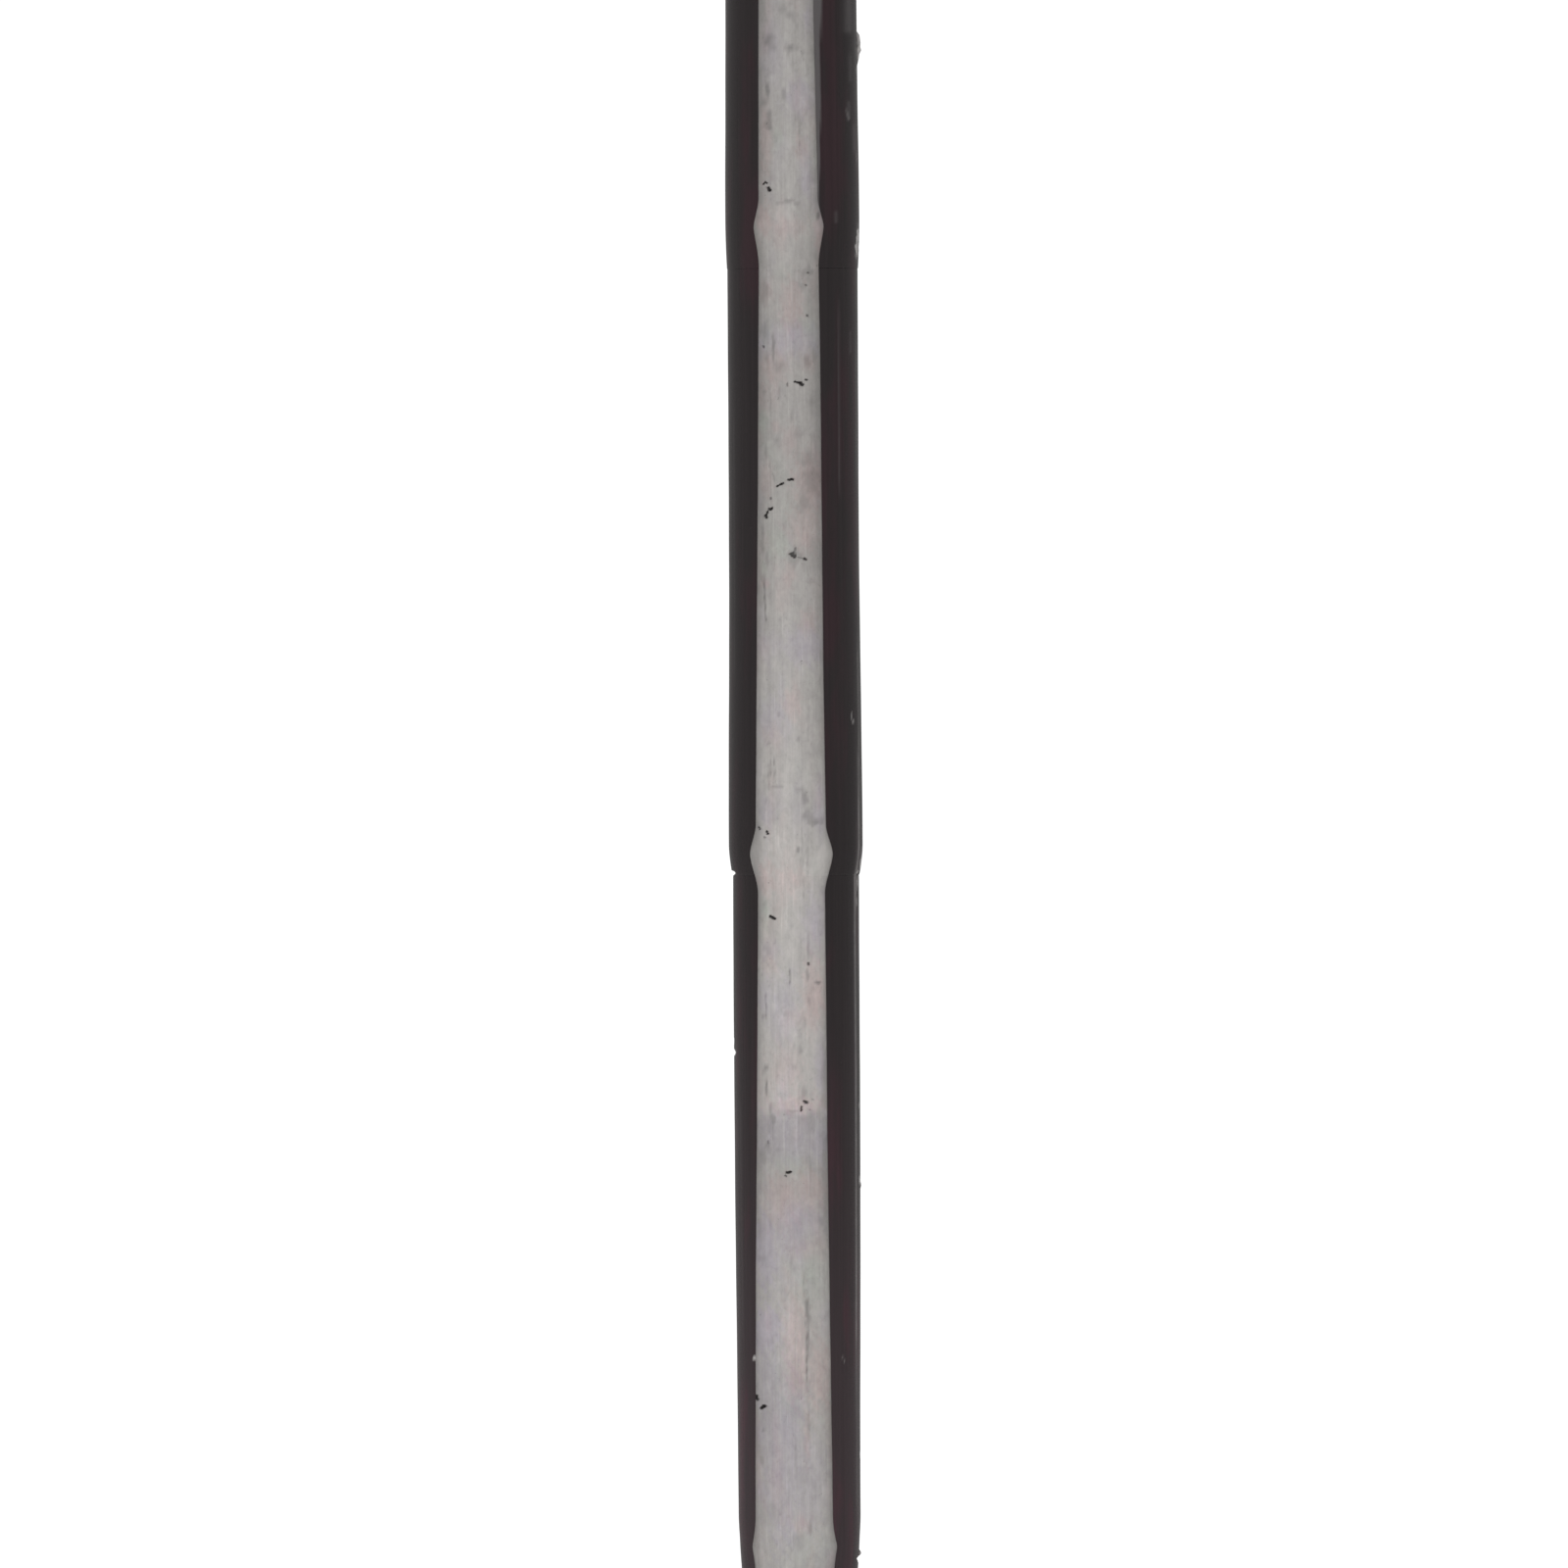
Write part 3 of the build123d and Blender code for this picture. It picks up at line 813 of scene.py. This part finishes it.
def make_sleeve(name, section, on_outside, sign, material):
    """One sleeve from its section, with a groove down its front and back where the slats lie."""
    radius, height = (np.array(column, float)[:, None] for column in zip(*section))
    away = np.abs(height)
    width = border_width(height * sign)
    bed = bed_radius(away)
    outer = np.maximum(radius, bed)
    drift = slat_drift(away)
    borders = (drift - width, drift + width)
    left, right = (np.arcsin(np.clip(border / outer, -0.99, 0.99)) for border in borders)
    floor_left, floor_right = (np.arcsin(np.clip(border / bed, -0.99, 0.99)) for border in borders)
    # One flank, from the front slat's border round to the back slat's, with closer columns at both
    close = np.array([0.0, 0.006, 0.014, 0.026, 0.045])
    share = np.concatenate([close, np.linspace(0.07, 0.93, 60), 1 - close[::-1]])[None, :]
    flank = right + share * (math.pi + left - right)
    floor = floor_left + np.linspace(0, 1, 9)[None, :] * (floor_right - floor_left)
    is_outside = (np.arange(len(section)) < on_outside)[:, None]
    from_border = np.minimum(flank - right, math.pi + left - flank) * outer
    eased = np.clip(1 - from_border / 0.25, 0, 1) ** 2 * 0.06 * is_outside * (radius > bed)
    angles = np.concatenate([flank, floor + math.pi, flank + math.pi, floor + 2 * math.pi], axis=1)
    signed = (angles + math.pi) % (2 * math.pi) - math.pi
    places = height * sign + 0 * angles
    # Paleness from nicks with painted glints and painted highlight lines, and rubs with painted highlight
    # lines and a painted reflection band
    depth, bare_and_highlight = sleeve_nicks_and_highlights(places, signed, radius)
    rub_and_reflection = sleeve_rubs_and_reflections(places, signed, radius, width)
    in_groove = np.concatenate([0 * flank, 1 + 0 * floor, 0 * flank, 1 + 0 * floor], axis=1)
    relief = 0.03 * waviness(places, angles, 23) - depth
    full = radius - np.concatenate([eased, 0 * floor, eased, 0 * floor], axis=1) + relief * is_outside
    reach = np.where(in_groove > 0, np.minimum(radius, bed), full)
    points = np.stack([reach * np.sin(angles), -reach * np.cos(angles), places], axis=-1)
    rows, columns = points.shape[:2]
    faces = grid_faces(rows, columns, close_rows=True)
    shown = is_outside * (1 - in_groove)
    attributes = {"bare_and_highlight": (bare_and_highlight * shown).ravel(), "rub_and_reflection": (rub_and_reflection * shown).ravel()}
    flat = points.reshape(-1, 3)
    return make_piece(f"{name}_finished", flat, faces, attributes, material, [name])


def make_cap(half, sign, material):
    """A rubber end cap: rim, three moulded rings, a rounded end and the socket that grips the sleeve."""
    name = f"{half}_end_cap"
    barrel_start, end_round, floor_height = 336.5, 4.0, 350.5
    rings = (339.6, 341.4, 343.2)
    heights = np.arange(barrel_start, CAP_END - end_round, 0.15)
    radii = np.full(heights.shape, CAP_RADIUS - 0.03)
    for ring in rings:
        radii -= 0.12 * np.exp(-(((heights - ring) / 0.28) ** 2))
    round_steps = np.linspace(0, math.pi / 2, 14)
    corner = [
        (CAP_RADIUS - end_round + end_round * math.cos(t), CAP_END - end_round + end_round * math.sin(t))
        for t in round_steps
    ]
    rim = [
        (SEAT_RADIUS + GLUE_GAP, CAP_RIM + 0.2),
        (SEAT_RADIUS + GLUE_GAP + 0.25, CAP_RIM),
        (12.25, CAP_RIM),
        (12.46, CAP_RIM + 0.09),
        (12.55, CAP_RIM + 0.35),
        (12.74, CAP_RIM + 1.4),
        (12.86, CAP_RIM + 2.2),
    ]
    inner_end = [(5.9, CAP_END), (3.0, CAP_END), (0.0, CAP_END)]
    cavity = [(reach, floor_height) for reach in (0.0, 8.0, 10.85)]
    cavity.append((SEAT_RADIUS + GLUE_GAP, floor_height - 0.2))
    section = rim + list(zip(radii, heights)) + corner + inner_end + cavity
    radius, height = (np.array(column, float)[:, None] for column in zip(*section))
    angles = np.linspace(0, 2 * math.pi, 97)[None, :-1]
    outside = (radius > 12.2) & (height < CAP_END - end_round)
    seam = 0.03 * np.exp(-((np.sin(angles) / 0.025) ** 2)) * outside * (height > barrel_start)
    reach = np.minimum(radius + seam, CAP_RADIUS)
    points = np.stack([reach * np.sin(angles), -reach * np.cos(angles), sign * height + 0 * angles], axis=-1)
    faces = grid_faces(len(section), angles.shape[1], close_rows=True)
    return make_piece(f"{name}_finished", points.reshape(-1, 3), faces, {}, material, [name])


# ---------------------------------------------------------------- materials


class Surface:
    """A node material on one Principled shader, laid out in millimetres of the object's coordinates."""

    def __init__(self, name, **uniform):
        self.material = bpy.data.materials.new(name)
        self.material.use_nodes = True
        self.tree = self.material.node_tree
        self.shader = self.tree.nodes["Principled BSDF"]
        for socket, value in uniform.items():
            self.shader.inputs[socket.replace("_", " ").title().replace("Ior", "IOR")].default_value = value
        place = self.node("ShaderNodeTexCoord").outputs["Object"]
        self.place = self.vector("SCALE", place, 1 / MM)

    def node(self, kind, **settings):
        made = self.tree.nodes.new(kind)
        for key, value in settings.items():
            setattr(made, key, value)
        return made

    def link(self, source, socket):
        if isinstance(source, bpy.types.NodeSocket):
            self.tree.links.new(source, socket)
        else:
            socket.default_value = source

    def vector(self, operation, a, b):
        made = self.node("ShaderNodeVectorMath", operation=operation)
        self.link(a, made.inputs[0])
        if operation == "SCALE":
            self.link(b, made.inputs["Scale"])
        else:
            self.link(b, made.inputs[1])
        return made.outputs[0]

    def math(self, operation, a, b=0.0, clamp=False):
        made = self.node("ShaderNodeMath", operation=operation, use_clamp=clamp)
        self.link(a, made.inputs[0])
        self.link(b, made.inputs[1])
        return made.outputs[0]

    def noise(self, per_mm, detail=3.0, rough=0.55, seed=0.0, warp=0.0):
        """Noise with its own number of features per mm along X, Y and Z, from 0 to 1."""
        place = self.vector("MULTIPLY", self.place, per_mm)
        place = self.vector("ADD", place, (seed, seed * 1.7, seed * 0.6))
        made = self.node("ShaderNodeTexNoise", noise_dimensions="3D")
        self.link(place, made.inputs["Vector"])
        for key, value in (("Scale", 1.0), ("Detail", detail), ("Roughness", rough), ("Distortion", warp)):
            made.inputs[key].default_value = value
        return made.outputs["Fac"]

    def ramp(self, value, low, high):
        """0 below low, 1 above high, smooth between."""
        made = self.node("ShaderNodeMapRange", interpolation_type="SMOOTHSTEP")
        self.link(value, made.inputs["Value"])
        made.inputs["From Min"].default_value = low
        made.inputs["From Max"].default_value = high
        return made.outputs["Result"]

    def mix(self, share, a, b):
        made = self.node("ShaderNodeMix", data_type="RGBA")
        self.link(share, made.inputs["Factor"])
        self.link(a, made.inputs[6])
        self.link(b, made.inputs[7])
        return made.outputs[2]

    def attribute(self, name):
        return self.node("ShaderNodeAttribute", attribute_name=name).outputs["Fac"]

    def scaled(self, share, low, high):
        """share from 0 to 1 turned into low to high."""
        made = self.node("ShaderNodeMapRange")
        self.link(share, made.inputs["Value"])
        made.inputs["To Min"].default_value = low
        made.inputs["To Max"].default_value = high
        return made.outputs["Result"]

    def bump(self, height, distance_mm, strength=1.0, base=None):
        made = self.node("ShaderNodeBump")
        made.inputs["Strength"].default_value = strength
        made.inputs["Distance"].default_value = distance_mm * MM
        self.link(height, made.inputs["Height"])
        if base is not None:
            self.link(base, made.inputs["Normal"])
        return made.outputs["Normal"]

    def finish(self, colour, roughness, normal=None):
        self.link(colour, self.shader.inputs["Base Color"])
        self.link(roughness, self.shader.inputs["Roughness"])
        if normal is not None:
            self.link(normal, self.shader.inputs["Normal"])
        return self.material


BEIGE = (1.045, 0.998, 0.958)
PINK, VIOLET, GREEN = (1.080, 0.952, 0.960), (0.978, 0.948, 1.066), (0.965, 1.030, 0.988)


def grey_slat():
    """Painted reflection: grey satin lacquer over fibre that runs along the stick, clouded with pink, violet
    and green, whose grey stands in for the front softbox's reflection in the black lacquer; its pits and
    scratches are real marks.
    """
    s = Surface("grey_slat", coat_weight=0.06, coat_roughness=0.35, ior=1.40)
    colour = s.vector("SCALE", BEIGE, s.attribute("tone"))
    cloud = s.noise((0.50, 0.50, 0.24), detail=5.0, rough=0.62, seed=40.0, warp=0.7)
    blotch = s.noise((0.9, 0.9, 0.7), detail=4.0, rough=0.65, seed=44.0, warp=0.5)
    streaky = s.noise((1.5, 1.5, 0.30), detail=4.0, rough=0.7, seed=49.0, warp=0.4)
    # The tints: drifting everywhere, and placed on the front slat
    tints = (("pink", PINK, 15.2, 0.50), ("violet", VIOLET, 8.4, 0.52), ("green", GREEN, 27.9, 0.54))
    for name, tint, seed, low in tints:
        drift = s.ramp(s.noise((0.24, 0.24, 0.09), detail=4.0, seed=seed), low, low + 0.2)
        placed = s.math("MULTIPLY", s.attribute(name), s.scaled(streaky, -0.2, 1.8))
        share = s.math("ADD", s.math("MULTIPLY", drift, 0.45), placed, clamp=True)
        colour = s.mix(share, colour, s.vector("MULTIPLY", colour, tint))
    fibre = s.noise((2.4, 2.4, 0.06), detail=4.0, rough=0.65, seed=1.0)
    broad_fibre = s.noise((0.8, 0.8, 0.014), detail=2.0, seed=5.0)
    fleck = s.ramp(s.noise((1.7, 1.7, 1.1), detail=3.0, rough=0.6, seed=52.0), 0.57, 0.70)
    pale = s.ramp(s.noise((2.0, 2.0, 0.10), detail=2.0, rough=0.6, seed=57.0), 0.58, 0.72)
    shades = (
        (fibre, 0.86, 1.14),
        (broad_fibre, 0.90, 1.10),
        (cloud, 0.76, 1.24),
        (blotch, 0.84, 1.16),
        (fleck, 1.0, 0.91),
        (pale, 1.0, 1.12),
        (s.attribute("pale"), 1.0, 1.12),
    )
    for share, low, high in shades:
        colour = s.vector("SCALE", colour, s.scaled(share, low, high))
    # Grey dirt smudges, and painted shade from the three long smudges at the borders
    smudge_and_shade = s.math("MULTIPLY", s.attribute("smudge_and_shade"), s.scaled(blotch, 0.5, 1.5))
    colour = s.mix(smudge_and_shade, colour, (0.175, 0.167, 0.163, 1))
    # Painted shade: the colour darkens towards the slat's borders
    colour = s.vector("SCALE", colour, s.scaled(s.attribute("rim"), 1.0, 0.56))
    pore = s.ramp(s.noise((1.8, 1.8, 1.3), detail=1.0, seed=63.0), 0.76, 0.82)
    colour = s.mix(s.math("MULTIPLY", pore, 0.55), colour, (0.110, 0.102, 0.100, 1))
    colour = s.mix(s.attribute("pit"), colour, (0.012, 0.010, 0.010, 1))
    normal = s.bump(fibre, 0.03, 0.5)
    normal = s.bump(s.noise((1.1, 1.1, 0.5), detail=4.0, seed=70.0), 0.05, 0.35, base=normal)
    return s.finish(colour, s.scaled(cloud, 0.42, 0.58), normal)


def black_lacquer():
    """Near-black gloss with a maroon cast in places, drawn-out streaks, grey rubs and pale worn nicks, with
    painted glints, painted highlight lines and a painted reflection band.
    """
    s = Surface("black_lacquer", coat_weight=0.0, ior=1.45)
    maroon = s.ramp(s.noise((0.14, 0.14, 0.03), detail=3.0, seed=4.0), 0.46, 0.64)
    colour = s.mix(maroon, (0.0218, 0.0176, 0.0186, 1), (0.0310, 0.0168, 0.0205, 1))
    height = s.node("ShaderNodeSeparateXYZ")
    s.link(s.place, height.inputs[0])
    handled = s.ramp(s.math("ABSOLUTE", height.outputs["Z"]), 165.0, 50.0)
    colour = s.mix(handled, colour, s.vector("MULTIPLY", colour, (1.90, 1.68, 1.78)))
    streak = s.noise((1.8, 1.8, 0.02), detail=3.0, rough=0.6, seed=12.0)
    colour = s.vector("SCALE", colour, s.scaled(streak, 0.75, 1.25))
    speck = s.ramp(s.noise((2.4, 2.4, 1.3), detail=2.0, seed=33.0), 0.75, 0.81)
    colour = s.mix(s.math("MULTIPLY", speck, 0.35), colour, (0.080, 0.074, 0.074, 1))
    patchy = s.scaled(s.noise((1.6, 1.6, 0.5), detail=4.0, rough=0.7, seed=47.0), 0.45, 1.35)
    # Grey rubs, with painted highlight lines near the right edge and a painted reflection band beside the
    # front slat
    rub_and_reflection = s.math("MULTIPLY", s.attribute("rub_and_reflection"), patchy, clamp=True)
    colour = s.mix(rub_and_reflection, colour, (0.100, 0.092, 0.094, 1))
    # Pale worn-through nicks, with painted glints on some and painted highlight lines along the right flank
    colour = s.mix(s.attribute("bare_and_highlight"), colour, (0.50, 0.48, 0.47, 1))
    scuff = s.noise((0.5, 0.5, 0.10), detail=4.0, rough=0.6, seed=21.0)
    rough = s.math("ADD", s.scaled(scuff, 0.16, 0.30), s.math("MULTIPLY", s.attribute("bare_and_highlight"), 0.3))
    normal = s.bump(streak, 0.012, 0.4)
    normal = s.bump(s.noise((0.9, 0.9, 0.35), detail=2.0, seed=60.0), 0.02, 0.3, base=normal)
    return s.finish(colour, rough, normal)


def rubber(name, shade, seed):
    """Moulded rubber: dull black with a fine grain and a little bloom."""
    s = Surface(name, ior=1.5)
    bloom = s.ramp(s.noise((0.3, 0.3, 0.3), detail=4.0, seed=seed), 0.40, 0.75)
    dark = (shade, shade * 0.96, shade * 0.96, 1)
    pale = (shade * 2.0, shade * 1.95, shade * 1.95, 1)
    colour = s.mix(s.math("MULTIPLY", bloom, 0.6), dark, pale)
    rough = s.scaled(s.noise((1.2, 1.2, 1.2), seed=seed + 3), 0.55, 0.75)
    return s.finish(colour, rough, s.bump(s.noise((6.0, 6.0, 6.0), detail=3.0, seed=seed + 7), 0.02, 0.6))


def turned_steel(name, shade, roughness):
    """Steel with the fine rings that turning leaves."""
    s = Surface(name, metallic=1.0)
    rings = s.noise((0.4, 0.4, 9.0), detail=3.0, seed=2.0)
    stain = s.noise((0.5, 0.5, 0.5), detail=4.0, seed=9.0)
    colour = s.vector("SCALE", (shade, shade, shade * 1.02), s.scaled(stain, 0.8, 1.15))
    return s.finish(colour, s.scaled(rings, roughness - 0.08, roughness + 0.10), s.bump(rings, 0.01, 0.5))


def bare_wood():
    """Straight-grained pale hardwood dowel."""
    s = Surface("core_wood", ior=1.45)
    grain = s.noise((1.4, 0.35, 0.02), detail=5.0, rough=0.65, seed=6.0, warp=0.8)
    pore = s.ramp(s.noise((5.0, 5.0, 0.16), detail=2.0, seed=18.0), 0.60, 0.70)
    colour = s.mix(s.ramp(grain, 0.35, 0.68), (0.62, 0.44, 0.27, 1), (0.44, 0.28, 0.15, 1))
    colour = s.mix(s.math("MULTIPLY", pore, 0.5), colour, (0.24, 0.14, 0.07, 1))
    return s.finish(colour, s.scaled(grain, 0.55, 0.72), s.bump(grain, 0.05, 0.5))


# ---------------------------------------------------------------- stage


def make_stage():
    """A pale floor under the stick and a white wall all round, which only the camera sees."""
    floor_height, floor_reach, reach, wall_top = cad_box[0].z, 5.5, 14.0, 12.0
    sides = 96
    work = bmesh.new()
    bmesh.ops.create_circle(work, cap_ends=True, segments=sides, radius=floor_reach)
    bmesh.ops.translate(work, verts=work.verts, vec=(0, 0, floor_height))
    mesh = bpy.data.meshes.new("floor")
    work.to_mesh(mesh)
    work.free()
    floor = bpy.data.objects.new("floor", mesh)
    wall_mesh = bpy.data.meshes.new("backdrop")
    turns = [2 * math.pi * i / sides for i in range(sides)]
    points = [(reach * math.cos(t), reach * math.sin(t), z) for z in (-wall_top, wall_top) for t in turns]
    faces = [(i, (i + 1) % sides, sides + (i + 1) % sides, sides + i) for i in range(sides)]
    faces += [tuple(range(sides, 2 * sides))]
    wall_mesh.from_pydata(points, [], faces)
    wall = bpy.data.objects.new("backdrop", wall_mesh)
    for piece in (floor, wall):
        bpy.context.scene.collection.objects.link(piece)

    pale = Surface("pale_floor", roughness=0.8)
    tone = pale.scaled(pale.noise((0.01, 0.01, 0.01), detail=2.0), 0.78, 0.84)
    pale.shader.inputs["Emission Color"].default_value = (1, 1, 1, 1)
    pale.shader.inputs["Emission Strength"].default_value = 0.42
    floor.data.materials.append(pale.finish(tone, 0.8))

    white = bpy.data.materials.new("white_backdrop")
    white.use_nodes = True
    tree = white.node_tree
    glow = tree.nodes.new("ShaderNodeEmission")
    glow.inputs["Strength"].default_value = 1.1
    tree.links.new(glow.outputs[0], tree.nodes["Material Output"].inputs["Surface"])
    tree.nodes.remove(tree.nodes["Principled BSDF"])
    wall.data.materials.append(white)
    for kind in ("diffuse", "glossy", "transmission", "volume_scatter", "shadow"):
        setattr(wall, f"visible_{kind}", False)
    floor.visible_glossy = False


def soft_light(name, place, aim, size, power):
    """A rectangular softbox at place, facing aim, which the camera doesn't see."""
    data = bpy.data.lights.new(name, "AREA")
    data.shape = "RECTANGLE"
    data.size, data.size_y = size
    data.energy = power
    lamp = bpy.data.objects.new(name, data)
    lamp.location = place
    lamp.rotation_euler = (Vector(aim) - Vector(place)).to_track_quat("-Z", "Y").to_euler()
    lamp.visible_camera = False
    bpy.context.scene.collection.objects.link(lamp)


def make_lights():
    aim = (0, 0, 0.1)
    soft_light("front_softbox", (-0.25, -1.8, 0.45), aim, (1.2, 2.4), 21)
    soft_light("left_top_softbox", (-1.3, 1.0, 2.0), aim, (1.0, 1.0), 22)
    soft_light("right_top_softbox", (1.3, 1.0, 2.0), aim, (1.0, 1.0), 22)
    world = bpy.data.worlds.new("studio")
    world.use_nodes = True
    world.node_tree.nodes["Background"].inputs["Color"].default_value = (1.0, 0.99, 0.98, 1)
    world.node_tree.nodes["Background"].inputs["Strength"].default_value = 0.25
    bpy.context.scene.world = world


def make_camera():
    """Level with the upper half's middle, with a long lens, looking from a little right of the front."""
    framed, middle_height, distance = 0.2883, 0.181, 4.5
    turn, lean, aside = math.radians(4.3), math.radians(0.33), -0.0021
    data = bpy.data.cameras.new("camera")
    data.sensor_width = 36
    data.lens = data.sensor_width * distance / framed
    data.clip_start, data.clip_end = 0.05, 60
    camera = bpy.data.objects.new("camera", data)
    camera.location = (
        distance * math.sin(turn) + aside * math.cos(turn),
        -distance * math.cos(turn) + aside * math.sin(turn),
        middle_height,
    )
    camera.rotation_euler = (math.radians(90), lean, turn)
    bpy.context.scene.collection.objects.link(camera)
    bpy.context.scene.camera = camera


# ---------------------------------------------------------------- assembly

make_camera()
make_lights()
make_stage()
bpy.context.scene.view_settings.view_transform = "Standard"

slat_painted_reflection, lacquer = grey_slat(), black_lacquer()
cap_finish, ring_finish = rubber("cap_rubber", 0.030, 1.0), rubber("ring_rubber", 0.040, 20.0)
bright, dull = turned_steel("bright_steel", 0.66, 0.30), turned_steel("weight_steel", 0.45, 0.42)
wood = bare_wood()

# The front and back slats, whose grey is a painted reflection of the front softbox
make_slat("front_strip", -1, slat_painted_reflection)
make_slat("back_strip", 1, slat_painted_reflection)
make_sleeve("waist_sleeve", *waist_section(), 1, lacquer)
for half, sign in HALVES:
    for index, sleeve in enumerate(SLEEVES):
        make_sleeve(f"{half}_{sleeve}", *sleeve_section(index), sign, lacquer)
    make_cap(half, sign, cap_finish)

# The pieces inside keep their CAD shapes
INSIDE = {"core_rod": wood}
for half, _ in HALVES:
    INSIDE[f"{half}_balance_weight"] = dull
    INSIDE[f"{half}_end_washer"] = bright
    INSIDE[f"{half}_end_screw"] = bright
    for number in (1, 2, 3):
        INSIDE[f"{half}_node_ring_{number}"] = ring_finish
for node, material in INSIDE.items():
    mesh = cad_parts[node].data
    mesh.materials.clear()
    mesh.materials.append(material)
